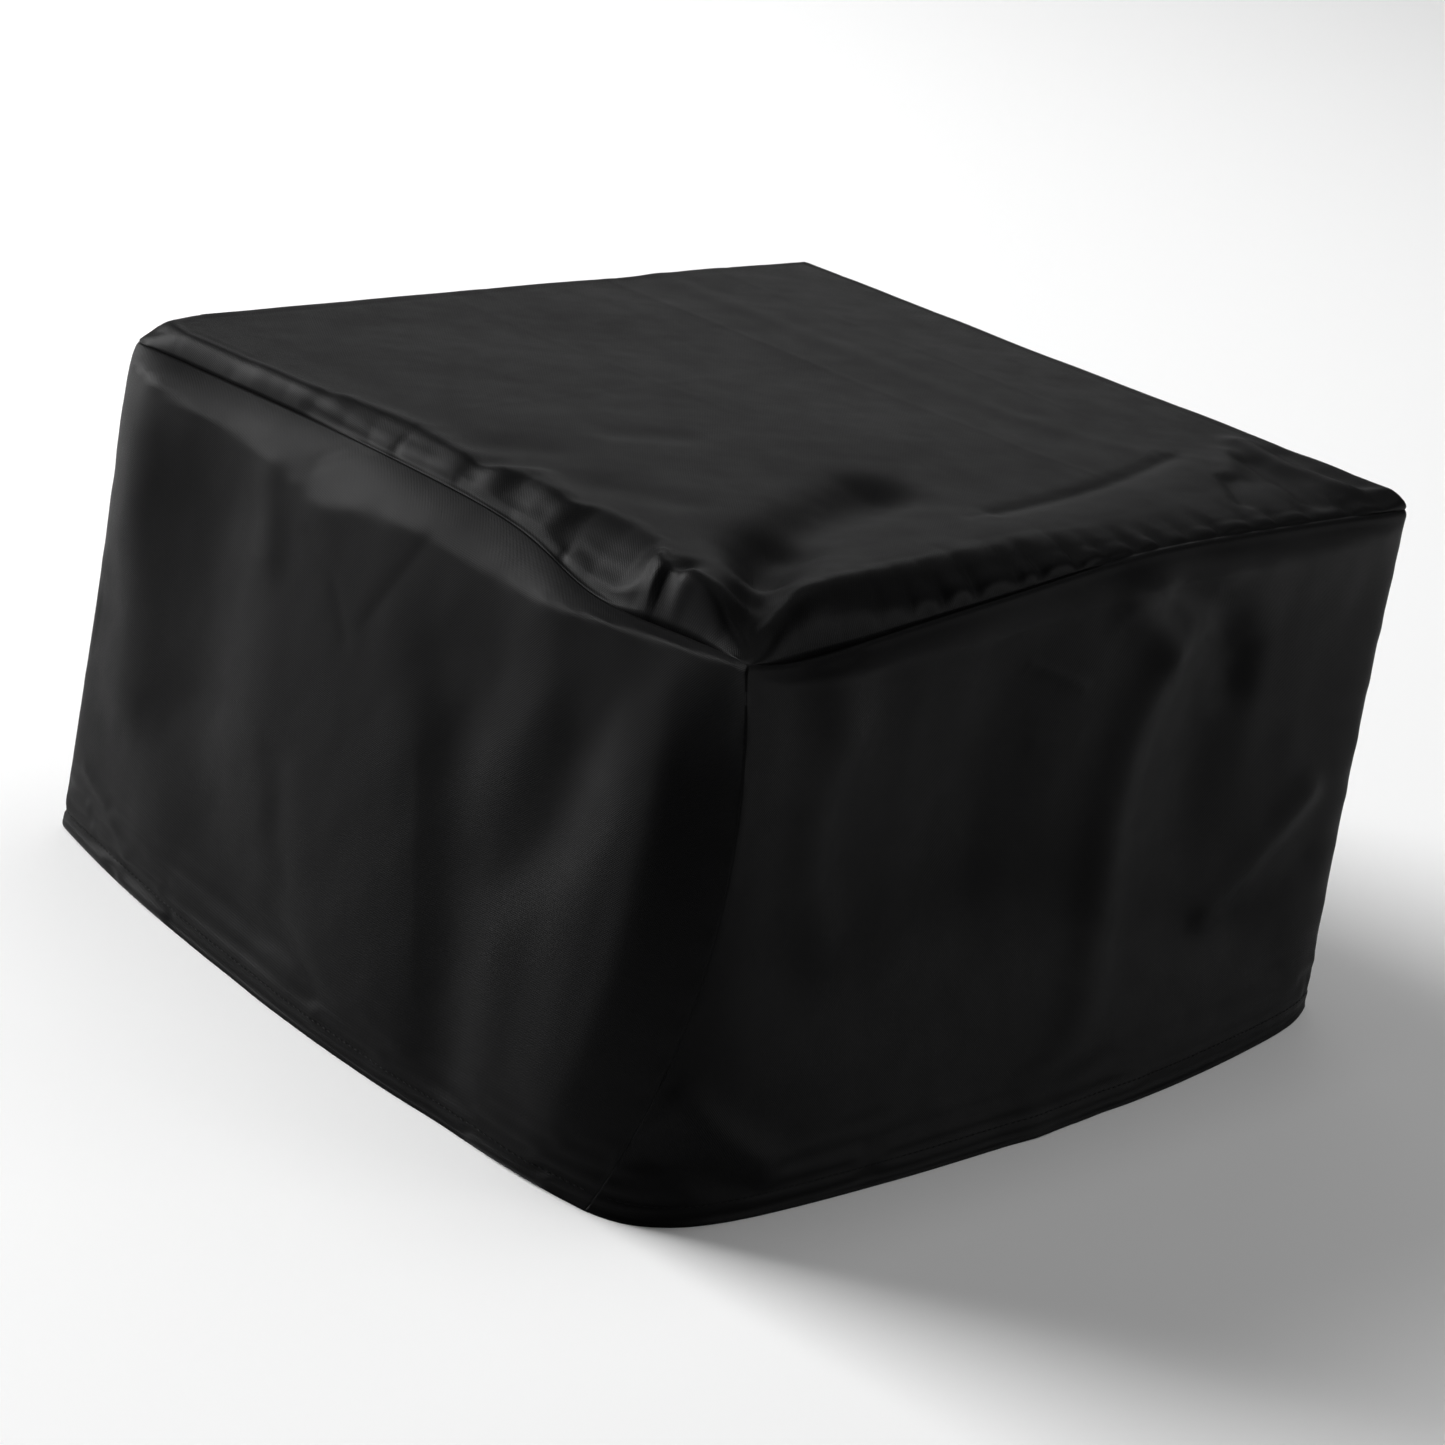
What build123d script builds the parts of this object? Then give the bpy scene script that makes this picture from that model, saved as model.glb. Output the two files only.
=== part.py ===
from build123d import *
import os

# A fitted dust cover for a desktop printer: five panels of woven polyester sewn into a box that is
# open at the bottom. It stands on its hem over the printer. The frame has +Z up, the origin on the
# floor under the middle of the cover, the 450 mm side along X and the 400 mm side along Y.
# All sizes are in millimetres.

# Outline of the cover at the top seam and at the hem
TOP_LENGTH = 450.0
TOP_DEPTH = 400.0
HEM_LENGTH = 480.0
HEM_DEPTH = 448.0
TOP_CORNER_RADIUS = 30.0
HEM_CORNER_RADIUS = 36.0
TOP_BULGE = 1.0
HEM_BULGE = 16.0

# Heights
SEAM_HEIGHT = 250.0
TOP_HEIGHT = 265.0
TOP_EDGE_RADIUS = 13.0

# Cloth, drawn thicker than the real 0.4 mm so that every panel is a sound solid
CLOTH = 1.2
LAYER_GAP = 0.15

# Hem: the wall's edge turned up inside and stitched
HEM_TURN_UP = 13.0
HEM_STITCH_HEIGHT = 10.0

# Seam allowances inside the cover
CORNER_ALLOWANCE_ANGLE = 26.0
CORNER_ALLOWANCE_FOOT = 16.0
TOP_ALLOWANCE_DROP = 11.0
SEAM_CLEARANCE = 2.0

# Sewing thread
THREAD = 0.6
TOP_STITCH_DROP = 6.0

# Each wall is drawn on a plane whose X runs along the wall and whose -Y points out of it.
WALL_DIRECTIONS = {
    "front": (1, 0, 0),
    "right": (0, 1, 0),
    "back": (-1, 0, 0),
    "left": (0, -1, 0),
}


def at_height(hem_value, top_value, height):
    """A size that changes evenly from the hem to the top seam."""
    return hem_value + (top_value - hem_value) * height / SEAM_HEIGHT


def wall_plane(side, height):
    """The level plane of one wall at a height."""
    return Plane(origin=(0, 0, height), x_dir=WALL_DIRECTIONS[side], z_dir=(0, 0, 1))


def wall_sizes(side, height):
    """Half the wall's run, its distance from the middle, its corner radius and its bulge."""
    half_length = at_height(HEM_LENGTH, TOP_LENGTH, height) / 2
    half_depth = at_height(HEM_DEPTH, TOP_DEPTH, height) / 2
    radius = at_height(HEM_CORNER_RADIUS, TOP_CORNER_RADIUS, height)
    bulge = at_height(HEM_BULGE, TOP_BULGE, height)
    if side in ("front", "back"):
        return half_length, half_depth, radius, bulge
    return half_depth, half_length, radius, bulge


def wall_section(side, height, outer, inner, with_corners):
    """A level cut through a layer of one wall, from `outer` to `inner` mm inside its outer face.

    With corners, the layer runs to the middle of the rounded corner at each end."""
    half_run, distance, radius, bulge = wall_sizes(side, height)
    straight = half_run - radius
    corner = distance - radius
    turn = 45.0 if with_corners else 4.0
    with BuildSketch(wall_plane(side, height)) as section:
        with BuildLine():
            for depth in (outer, inner):
                CenterArc((-straight, -corner), radius - depth, 270 - turn, turn)
                ThreePointArc(
                    (-straight, depth - distance),
                    (0, depth - distance - bulge),
                    (straight, depth - distance),
                )
                CenterArc((straight, -corner), radius - depth, 270, turn)
            for end, angle in ((-straight, 270 - turn), (straight, 270 + turn)):
                direction = Vector(1, 0, 0).rotate(Axis.Z, angle)
                centre = Vector(end, -corner, 0)
                Line(centre + direction * (radius - outer), centre + direction * (radius - inner))
        make_face()
    return section.sketch.faces()[0]


def wall_layer(name, side, low, high, outer, inner, with_corners):
    """A layer of cloth or thread that follows one wall between two heights."""
    with BuildPart() as layer:
        loft(
            sections=[
                wall_section(side, low, outer, inner, with_corners),
                wall_section(side, high, outer, inner, with_corners),
            ],
            ruled=True,
        )
    save(layer, name)


def corner_section(x_sign, y_sign, height, outer, inner, spread):
    """A level cut through a strip inside one rounded corner, `spread` degrees wide."""
    radius = at_height(HEM_CORNER_RADIUS, TOP_CORNER_RADIUS, height)
    across = at_height(HEM_LENGTH, TOP_LENGTH, height) / 2 - radius
    along = at_height(HEM_DEPTH, TOP_DEPTH, height) / 2 - radius
    middle = {(1, 1): 45, (-1, 1): 135, (-1, -1): 225, (1, -1): 315}[(x_sign, y_sign)]
    centre = Vector(x_sign * across, y_sign * along, 0)
    with BuildSketch(Plane.XY.offset(height)) as section:
        with BuildLine():
            for depth in (outer, inner):
                CenterArc(centre, radius - depth, middle - spread / 2, spread)
            for angle in (middle - spread / 2, middle + spread / 2):
                direction = Vector(1, 0, 0).rotate(Axis.Z, angle)
                Line(centre + direction * (radius - outer), centre + direction * (radius - inner))
        make_face()
    return section.sketch.faces()[0]


def corner_strip(name, x_sign, y_sign, low, high, outer, inner, spread):
    """A strip of cloth or thread that runs up the inside of one corner."""
    with BuildPart() as strip:
        loft(
            sections=[
                corner_section(x_sign, y_sign, low, outer, inner, spread),
                corner_section(x_sign, y_sign, high, outer, inner, spread),
            ],
            ruled=True,
        )
    save(strip, name)


def save(piece, name):
    """Writes one finished piece as the node of that name."""
    piece.part.label = name
    export_step(piece.part, f"parts/{name}.step")


os.makedirs("parts", exist_ok=True)

# Depths of the layers, measured inwards from the wall's outer face
WALL_INSIDE = CLOTH
SECOND_LAYER = CLOTH + LAYER_GAP
SECOND_LAYER_INSIDE = SECOND_LAYER + CLOTH
THREAD_ON_SECOND = SECOND_LAYER_INSIDE + LAYER_GAP
CORNER_THREAD_SPREAD = 1.2

# Top panel: a pillow of cloth, flat on the printer, that rolls over the edge down to its seam
with BuildPart() as top_panel:
    with BuildSketch(Plane.XY.offset(SEAM_HEIGHT)):
        RectangleRounded(TOP_LENGTH, TOP_DEPTH, TOP_CORNER_RADIUS)
    extrude(amount=TOP_HEIGHT - SEAM_HEIGHT)
    fillet(top_panel.faces().sort_by(Axis.Z)[-1].edges(), TOP_EDGE_RADIUS)
    offset(amount=-CLOTH, openings=top_panel.faces().sort_by(Axis.Z)[0])
save(top_panel, "top_panel")

for side in WALL_DIRECTIONS:
    # Wall panel, from the hem's fold on the floor up to the top seam
    wall_layer(f"{side}_wall", side, 0, SEAM_HEIGHT, 0, WALL_INSIDE, True)

    # Hem: the turned-up edge inside the wall, and the row of stitches that holds it
    wall_layer(f"{side}_hem", side, 0, HEM_TURN_UP, SECOND_LAYER, SECOND_LAYER_INSIDE, True)
    wall_layer(
        f"{side}_hem_stitching",
        side,
        HEM_STITCH_HEIGHT,
        HEM_STITCH_HEIGHT + THREAD,
        -LAYER_GAP - THREAD,
        -LAYER_GAP,
        False,
    )

    # Top seam: its allowance pressed down inside the wall, and the row of stitches through it
    wall_layer(
        f"{side}_top_seam_allowance",
        side,
        SEAM_HEIGHT - SEAM_CLEARANCE - TOP_ALLOWANCE_DROP,
        SEAM_HEIGHT - SEAM_CLEARANCE,
        SECOND_LAYER,
        SECOND_LAYER_INSIDE,
        False,
    )
    wall_layer(
        f"{side}_top_seam_stitching",
        side,
        SEAM_HEIGHT - TOP_STITCH_DROP,
        SEAM_HEIGHT - TOP_STITCH_DROP + THREAD,
        THREAD_ON_SECOND,
        THREAD_ON_SECOND + THREAD,
        False,
    )

# Corner seams: the allowance inside each upright corner, and the row of stitches through it
for depth_name, y_sign in (("front", -1), ("back", 1)):
    for side_name, x_sign in (("left", -1), ("right", 1)):
        corner_strip(
            f"{depth_name}_{side_name}_seam_allowance",
            x_sign,
            y_sign,
            CORNER_ALLOWANCE_FOOT,
            SEAM_HEIGHT - SEAM_CLEARANCE,
            SECOND_LAYER,
            SECOND_LAYER_INSIDE,
            CORNER_ALLOWANCE_ANGLE,
        )
        corner_strip(
            f"{depth_name}_{side_name}_seam_stitching",
            x_sign,
            y_sign,
            CORNER_ALLOWANCE_FOOT,
            SEAM_HEIGHT - SEAM_CLEARANCE,
            THREAD_ON_SECOND,
            THREAD_ON_SECOND + THREAD,
            CORNER_THREAD_SPREAD,
        )
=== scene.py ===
"""A black printer dust cover: five cloth panels sewn into a soft box that is open at the bottom.

The cloth is shaped from a few seam and hem curves and a list of folds, then relaxed as cloth
(position based, inextensible, on a fixed grid) so that its folds and gathers settle like fabric.
Positions are in millimetres until a mesh is made, in the CAD frame: +Z up, origin on the floor."""

import math

import bpy
import numpy as np
from mathutils import Matrix, Vector


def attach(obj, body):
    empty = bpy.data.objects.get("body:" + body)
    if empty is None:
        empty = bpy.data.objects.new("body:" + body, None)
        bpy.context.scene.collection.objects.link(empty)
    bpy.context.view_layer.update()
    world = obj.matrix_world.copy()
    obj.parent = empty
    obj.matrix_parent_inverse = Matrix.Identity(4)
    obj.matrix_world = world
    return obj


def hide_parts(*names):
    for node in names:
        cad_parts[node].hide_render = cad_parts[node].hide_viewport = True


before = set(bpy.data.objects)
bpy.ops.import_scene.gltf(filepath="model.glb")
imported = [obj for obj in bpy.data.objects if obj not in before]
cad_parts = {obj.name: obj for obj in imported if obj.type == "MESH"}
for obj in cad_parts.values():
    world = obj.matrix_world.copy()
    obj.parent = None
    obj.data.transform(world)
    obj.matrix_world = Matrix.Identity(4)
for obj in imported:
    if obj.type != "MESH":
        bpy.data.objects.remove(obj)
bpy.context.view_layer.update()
MM = 0.001
SEAM_HEIGHT = 250.0
TOP_LENGTH = 450.0
TOP_DEPTH = 400.0

# ------------ the cover's curves, in mm

# Corners of the top seam, and points of the seam between them, side by side round the cover
FRONT_LEFT = (-230, -207, 246)
FRONT_RIGHT = (227, -202, 258)
BACK_RIGHT = (226, 200, 256)
BACK_LEFT = (-226, 200, 250)
SEAM = {
    "front": [FRONT_LEFT, (-208, -204, 242), (-190, -202, 241), (-160, -202, 243.5), (-117, -202, 248),
        (-69, -202, 252.5), (-26, -202, 257), (10, -202, 260.5), (60, -202, 262), (138, -202, 261),
        (200, -202, 259.5), FRONT_RIGHT],
    "right": [FRONT_RIGHT, (226, -140, 257), (225, -60, 256), (225, 60, 255), (225, 140, 255), BACK_RIGHT],
    "back": [BACK_RIGHT, (120, 200, 255), (0, 200, 254), (-120, 200, 252), BACK_LEFT],
    "left": [BACK_LEFT, (-223, 150, 250.5), (-222, 60, 253), (-223, -20, 253.5), (-225, -80, 249),
        (-230, -112, 243), (-229, -165, 243.5), FRONT_LEFT],
}

# Foot of each corner seam, and points of the hem on the floor between them
FRONT_LEFT_FOOT = (-253.5, -193)
FRONT_RIGHT_FOOT = (225.5, -212.5)
BACK_RIGHT_FOOT = (224, 214)
BACK_LEFT_FOOT = (-224, 214)
HEM = {
    "front": [FRONT_LEFT_FOOT, (-247.5, -206.5), (-235, -218.5), (-218, -226), (-177, -233), (-131, -237),
        (-29, -241), (91, -238), (164, -230), (206, -221), FRONT_RIGHT_FOOT],
    "right": [FRONT_RIGHT_FOOT, (237, -167), (248, -88), (255, 0), (255, 95), (247, 160), BACK_RIGHT_FOOT],
    "back": [BACK_RIGHT_FOOT, (175, 226), (95, 236), (0, 239), (-100, 236), (-178, 226), BACK_LEFT_FOOT],
    "left": [BACK_LEFT_FOOT, (-235, 167), (-248, 88), (-256, 18), (-259, -40), (-259.5, -95),
        (-258.8, -130), (-257.5, -160), (-255.5, -180), FRONT_LEFT_FOOT],
}

# The walls' outline at mid height, where the cloth stands fullest
FRONT_LEFT_WAIST = (-236, -220)
FRONT_RIGHT_WAIST = (226.5, -210)
BACK_RIGHT_WAIST = (224, 207)
BACK_LEFT_WAIST = (-231, 205)
WAIST_HEIGHT = 125
WAIST = {
    "front": [FRONT_LEFT_WAIST, (-222, -222), (-205, -221.5), (-180, -218), (-130, -210.5), (0, -206),
        (100, -205), (190, -207.5), (212, -209), FRONT_RIGHT_WAIST],
    "right": [FRONT_RIGHT_WAIST, (231, -170), (237, -80), (239, 30), (236, 130), (231, 180),
        BACK_RIGHT_WAIST],
    "back": [BACK_RIGHT_WAIST, (190, 211), (110, 216), (0, 218), (-120, 215), (-195, 209), BACK_LEFT_WAIST],
    "left": [BACK_LEFT_WAIST, (-235, 175), (-243, 110), (-249, 40), (-252, -30), (-253, -100),
        (-254, -142), (-256.5, -168), (-258.5, -184), (-258.8, -190.5), (-255, -196.5), (-250, -203),
        (-243, -211.5), FRONT_LEFT_WAIST],
}
SIDES = ("front", "right", "back", "left")

# The cloth's grid: cells along each side of the top, and rows down the walls. They are smaller near
# the sides' ends, the seam and the hem: (how much smaller, over how many cells).
CELLS = {"front": 112, "right": 100, "back": 112, "left": 100}
RING = sum(CELLS.values())
WALL_ROWS = 56
SMALL_AT_ENDS = (0.58, 7.0)
SMALL_AT_SEAM = (0.66, 8.0)
SMALL_AT_HEM = (0.35, 4.0)

# The ledge of cloth under each side's seam: position along the side, how far out, how far down
LEDGE = {
    "left": [(200, 1, 6), (184, 8, 7), (168, 14, 8), (139, 16, 12), (94, 15, 16), (66, 15, 19), (55, 16, 26),
        (38, 17, 28), (29, 16, 21), (2, 15, 19), (-25, 15, 15), (-48, 15, 18), (-76, 14, 15),
        (-109, 12, 8), (-121, 10, 4), (-146, 8, 2), (-184, 6, 1), (-207, 3, 1)],
    "front": [(-230, 3, 4), (-190, 7, 8), (-100, 11, 13), (0, 13, 16), (60, 13, 15), (100, 12, 14),
        (150, 10, 12), (210, 4, 9), (227, 0.6, 6)],
    "right": [(-202, 0.6, 6), (-120, 8, 12), (0, 10, 14), (120, 8, 12), (200, 2, 6)],
    "back": [(226, 2, 6), (110, 8, 12), (0, 9, 14), (-110, 8, 12), (-226, 2, 6)],
}

# How far in from the seam the top panel's rolled edge reaches its crest, along each side
ROLL = {
    "left": [(199, 22), (186, 13), (173, 8), (124, 9), (87, 9), (58, 15), (34, 18), (14, 18), (-5, 15),
        (-20, 13), (-30, 15), (-45, 20), (-75, 20), (-85, 30), (-105, 34), (-125, 30), (-137, 14),
        (-147, 9), (-175, 8), (-206, 8)],
    "front": [(-229, 12), (-206, 11), (-190, 13), (-160, 16), (-130, 19), (-100, 21), (-70, 22),
        (-40, 23), (0, 25), (70, 30), (112, 36), (160, 36), (196, 26), (216, 14), (227, 9)],
    "right": [(-202, 8), (-154, 8), (0, 8), (200, 7)],
    "back": [(226, 7), (0, 7), (-190, 8), (-214, 14), (-226, 22)],
}

# Pinches where the top panel is gathered into its seam: position along the side, and depth
PINCHES = {
    "left": [(186, 0.5), (172, 0.7), (148, 0.3), (122, 0.5), (108, 0.3), (96, 0.5), (77, 0.5), (57, 0.6),
        (39, 0.9), (22, 1.8), (2, 0.4), (-19, 0.9), (-54, 0.7), (-92, 1.6), (-108, 0.4), (-139, 1.0),
        (-150, 1.8), (-166, 0.4), (-188, 0.3)],
    "front": [(-196, 0.3), (-170, 0.4), (-148, 0.7), (-128, 0.5), (-108, 1.5), (-88, 1.7), (-62, 1.1),
        (-47, 1.8), (-22, 1.6), (-3, 0.8), (19, 1.3), (37, 1.2), (58, 0.5), (77, 1.1), (104, 0.6),
        (124, 0.9), (150, 0.6), (178, 0.9), (205, 0.4)],
    "right": [(-170, 0.7), (-128, 0.4), (-60, 0.4), (22, 0.3), (101, 0.4), (170, 0.5)],
    "back": [(-190, 0.5), (-101, 0.3), (-12, 0.4), (80, 0.3), (160, 0.5)],
}


# ------------ small tools


def spline(points, count):
    """`count` + 1 points on a natural cubic spline through the points, closer near both ends."""
    points = np.array(points, float)
    knots = travelled(points)
    steps = np.diff(knots)
    n = len(points)
    system = np.eye(n)
    right = np.zeros_like(points)
    for k in range(1, n - 1):
        system[k, k - 1 : k + 2] = steps[k - 1], 2 * (steps[k - 1] + steps[k]), steps[k]
        slope_after = (points[k + 1] - points[k]) / steps[k]
        slope_before = (points[k] - points[k - 1]) / steps[k - 1]
        right[k] = 6 * (slope_after - slope_before)
    bend = np.linalg.solve(system, right)
    t = graded(count) * knots[-1]
    k = np.clip(np.searchsorted(knots, t, side="right") - 1, 0, n - 2)
    h = steps[k][:, None]
    a = (knots[k + 1] - t)[:, None] / h
    b = 1 - a
    cubic = ((a**3 - a) * bend[k] + (b**3 - b) * bend[k + 1]) * h**2 / 6
    return a * points[k] + b * points[k + 1] + cubic


def graded(count):
    """Fractions 0 to 1 of a side's length, closer together near both ends."""
    middle = np.arange(count) + 0.5
    nearest = np.minimum(middle, count - middle)
    cells = 1 - SMALL_AT_ENDS[0] * np.exp(-nearest / SMALL_AT_ENDS[1])
    return np.concatenate([[0], np.cumsum(cells)]) / cells.sum()


def ring_of(curves):
    """One closed loop of points, RING of them, from the four sides' curves."""
    return np.concatenate([spline(curves[side], CELLS[side])[:-1] for side in SIDES])


def unit(vectors):
    """The vectors at length one."""
    return vectors / np.maximum(np.linalg.norm(vectors, axis=-1, keepdims=True), 1e-9)


def bell(distance, reach):
    """1 at no distance, and smoothly down to nothing beyond the reach."""
    return np.exp(-((distance / reach) ** 2))


def ramp(distance, reach):
    """0 at no distance, evenly up to 1 at the reach and beyond it."""
    return np.clip(distance / reach, 0, 1)


def side_columns():
    """Each side with the part of the loop that it takes up."""
    start = 0
    for side in SIDES:
        yield side, slice(start, start + CELLS[side])
        start += CELLS[side]


def smooth_ring(values, reach):
    """The loop's values averaged with their neighbours, `reach` points to each side."""
    values = np.asarray(values, float)
    span = int(3 * reach) + 1
    total = np.zeros_like(values)
    weight = 0
    for k in range(-span, span + 1):
        w = math.exp(-0.5 * (k / reach) ** 2)
        total += w * np.roll(values, k, axis=0)
        weight += w
    return total / weight


def travelled(points, axis=0):
    """Distance travelled along a line of points, or along each line of a grid."""
    steps = np.linalg.norm(np.diff(points, axis=axis), axis=-1)
    start = np.zeros_like(np.take(steps, [0], axis=axis))
    return np.concatenate([start, np.cumsum(steps, axis=axis)], axis=axis)


def resample(distances, along_line, values):
    """A line's values, one row for each of its points, read off at distances along it."""
    return np.stack([np.interp(distances, along_line, column) for column in values.T], axis=1)


def path_distance(x, y, path):
    """Distance of each point from a line through the path's points."""
    nearest = np.full(np.shape(x), np.inf)
    for (ax, ay), (bx, by) in zip(path, path[1:]):
        run_x, run_y = bx - ax, by - ay
        along = ((x - ax) * run_x + (y - ay) * run_y) / (run_x**2 + run_y**2)
        along = np.clip(along, 0, 1)
        nearest = np.minimum(nearest, np.hypot(x - ax - along * run_x, y - ay - along * run_y))
    return nearest


def folds(x, y, rows, sharp=False):
    """Height of the listed soft folds, or of the creases, which are the rows that end in "sharp"."""
    total = np.zeros(np.shape(x))
    for path, width, height, *kind in rows:
        if bool(kind) != sharp:
            continue
        away = path_distance(x, y, path) / width
        total += height * (np.exp(-away) if kind else np.exp(-away * away))
    return total


def along(side, points):
    """The coordinate that runs along a side: x for the front and back, y for the left and right."""
    return points[..., 0] if side in ("front", "back") else points[..., 1]


def stations(side, table, points):
    """Numbers given at stations along a side, read off at the points."""
    rows = np.array(sorted(table[side]), float)
    run = along(side, points)
    return [np.interp(run, rows[:, 0], rows[:, k]) for k in range(1, rows.shape[1])]


def puffs(run, pinches):
    """Height of the puffs of cloth between the pinches of a gathered seam, and their width."""
    marks = np.array([place for place, _ in sorted(pinches)], float)
    depths = np.array([depth for _, depth in sorted(pinches)], float)
    k = np.clip(np.searchsorted(marks, run) - 1, 0, len(marks) - 2)
    width = marks[k + 1] - marks[k]
    t = np.clip((run - marks[k]) / width, 0, 1)
    height = 0.5 * (depths[k] + depths[k + 1])
    return height * np.abs(np.sin(math.pi * t)) ** PUFF_BLUNTNESS, width


def halve(values, axis):
    """Puts a point half way between each two neighbours, on a cubic, or at the ends a parabola."""
    values = np.moveaxis(np.asarray(values, float), axis, 0)
    middle = 9 / 16 * (values[:-1] + values[1:])
    middle[1:-1] -= 1 / 16 * (values[:-3] + values[3:])
    middle[0] = 3 / 8 * values[0] + 3 / 4 * values[1] - 1 / 8 * values[2]
    middle[-1] = 3 / 8 * values[-1] + 3 / 4 * values[-2] - 1 / 8 * values[-3]
    out = np.zeros((2 * len(values) - 1,) + values.shape[1:])
    out[::2] = values
    out[1::2] = middle
    return np.moveaxis(out, 0, axis)


def finer(grid):
    """A grid with twice the cells each way."""
    return halve(halve(grid, 0), 1)


RIPPLE_WAVES = 9


def ripples(x, y, scale, seed):
    """Smooth, fixed, uneven noise about one unit high, with features about `scale` across."""
    random = np.random.default_rng(seed)
    total = np.zeros(np.shape(x))
    for _ in range(RIPPLE_WAVES):
        angle, phase, size = random.uniform(0, math.tau, 3) * (1, 1, 1 / math.tau)
        step = math.tau / (scale * (0.7 + size))
        total += np.sin((x * math.cos(angle) + y * math.sin(angle)) * step + phase)
    return total / math.sqrt(RIPPLE_WAVES)


def swell(x, y, row, number=0):
    """Uneven swells, from a row of (height, scale, seed, share of y that counts)."""
    height, scale, seed, squeeze = row
    return height * ripples(x, y * squeeze, scale, seed + number)


def grid_normals(grid, closed):
    """Unit normals of a grid of points, rows by columns. The columns may close on themselves."""
    down = np.gradient(grid, axis=0)
    if closed:
        across = (np.roll(grid, -1, axis=1) - np.roll(grid, 1, axis=1)) / 2
    else:
        across = np.gradient(grid, axis=1)
    return unit(np.cross(across, -down))


# ------------ folds that the cloth is laid with

# Top panel, in x and y
TOP_FOLDS = [
    # the pillow's crest behind the front seam, and the crease behind it
    ([(-184, -191), (-160, -184), (-130, -178), (-100, -174), (-70, -173), (-40, -172), (-5, -170),
      (70, -161), (112, -150), (150, -137)], 18, 1.3),
    ([(-20, -150), (0, -148), (70, -139), (112, -129), (140, -121)], 6, -1.1),
    ([(-40, -151), (0, -148), (70, -139), (112, -129), (150, -118)], 2.6, -0.5, "sharp"),
    # the sunken near corner, and the valley that runs in from it
    ([(-222, -199), (-216, -193)], 8, -1.5),
    ([(-214, -191), (-202, -181)], 10, -3.0),
    ([(-202, -181), (-180, -164)], 12, -5.5),
    ([(-180, -164), (-150, -145)], 14, -4.0),
    ([(-168, -150), (-120, -131), (-82, -117), (-56, -110)], 18, -7.0),
    # the upright facet beside the near corner, and the tuck beside that
    ([(-221, -160), (-217, -172), (-214, -180)], 6, 2.4),
    ([(-226, -154), (-212, -150)], 4.5, -2.6),
    ([(-211, -135), (-230, -149)], 2.2, 1.2, "sharp"),
    # the pillow's swells along the left seam
    ([(-219, 118), (-216, 84)], 9, 1.7),
    ([(-213, 66), (-209, 44), (-207, 26)], 10, 2.6),
    ([(-208, 10), (-209, -10)], 9, 1.8),
    ([(-224, -24), (-204, -20)], 7, -1.2),
    ([(-208, -34), (-196, -42), (-204, -60)], 9, 2.3),
    ([(-190, -2), (-170, -14)], 14, -1.2),
    ([(-176, -62), (-160, -90)], 14, -1.0),
    # the far right corner's dog-ear
    ([(200, -116), (192, -150), (196, -184)], 8, 2.2),
    ([(210, -136), (206, -156), (208, -180)], 8, -1.6),
    ([(138, -156), (121, -180)], 4.5, -1.2),
    ([(180, -140), (165, -188)], 8, -2.2),
    ([(178, -124), (150, -150)], 7, 1.2),
    # creases left by the cover's folding
    ([(72, 196), (69, -88), (76, -128)], 3.0, 0.25, "sharp"),
    ([(108, 196), (107, -43), (130, -112)], 9, 0.5),
    ([(150, 196), (150, -60)], 3.0, 0.15, "sharp"),
    ([(-40, 190), (-36, 0)], 3.0, 0.12, "sharp"),
    ([(-190, 40), (190, 52)], 3.0, 0.10, "sharp"),
    # long soft swells
    ([(-150, 20), (-60, -40), (60, -60)], 34, 1.2),
    ([(-120, 150), (0, 100)], 40, -1.0),
    ([(-118, -8), (-92, -22)], 12, -1.0),
]

# Left wall, in y and z
LEFT_FOLDS = [
    ([(-72, 165), (-84, 115), (-92, 80), (-98, 40), (-104, 14)], 22, -3.8),
    ([(-140, 184), (-133, 150), (-113, 118)], 19, -3.2),
    ([(-172, 190), (-172, 165), (-163, 110), (-162, 50)], 18, 1.5),
    ([(172, 215), (166, 100)], 24, 4.4),
    ([(110, 195), (100, 120)], 28, -4.0),
    ([(-118, 105), (-124, 60), (-124, 30)], 18, 1.4),
    ([(172, 120), (138, 118), (108, 94), (77, 56), (40, 30)], 32, -3.6),
    ([(-50, 150), (-66, 90), (-76, 48)], 9, 0.5, "sharp"),
    ([(37, 109), (30, 85), (20, 58)], 9, -1.0),
    ([(26, 45), (-14, 22)], 8, -1.0),
    ([(192, 40), (168, 30), (144, 17)], 4.5, 1.0, "sharp"),
    ([(78, 226), (70, 196)], 11, 1.6),
    ([(56, 242), (44, 252)], 2.5, -0.4, "sharp"),
    ([(28, 255), (55, 238)], 2.5, -0.35, "sharp"),
    ([(-28, 236), (-3, 190)], 4.5, -0.4, "sharp"),
    ([(46, 212), (24, 200), (8, 178)], 3, -0.5, "sharp"),
    ([(-53, 190), (-80, 200)], 20, -1.8),
]

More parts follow.
